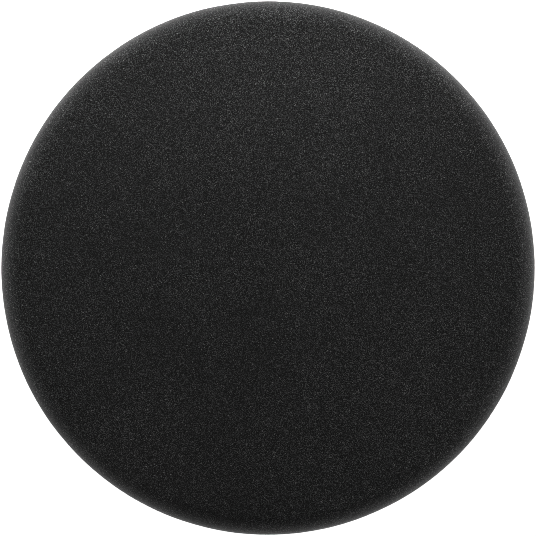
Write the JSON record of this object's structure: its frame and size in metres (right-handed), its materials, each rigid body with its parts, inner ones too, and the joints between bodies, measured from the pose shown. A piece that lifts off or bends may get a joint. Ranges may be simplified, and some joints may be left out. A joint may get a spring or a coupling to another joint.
{
  "type": "polishing pad",
  "caption": "Round black foam polishing pad with a rounded rim and a loop fabric back that grips the hook face of a machine polisher's backing plate.",
  "frame": {"origin": "centre of the loop side, in the plane of the loop tips that the pad lies on", "axes": "+Z along the pad's axis, from the loop side to the polishing face"},
  "size_m": [0.15, 0.15, 0.0276],
  "materials": {
    "foam": "black open-cell polyurethane foam, matt, with fine cells",
    "adhesive": "translucent hot-melt film, slightly glossy",
    "ground_cloth": "warp-knitted polyamide ground, dull",
    "loop_pile": "brushed polyamide loops, soft sheen"
  },
  "bodies": {
    "root": {"foam_body": "foam", "adhesive_film": "adhesive", "ground_cloth": "ground_cloth", "loop_pile": "loop_pile"}
  },
  "joints": []
}
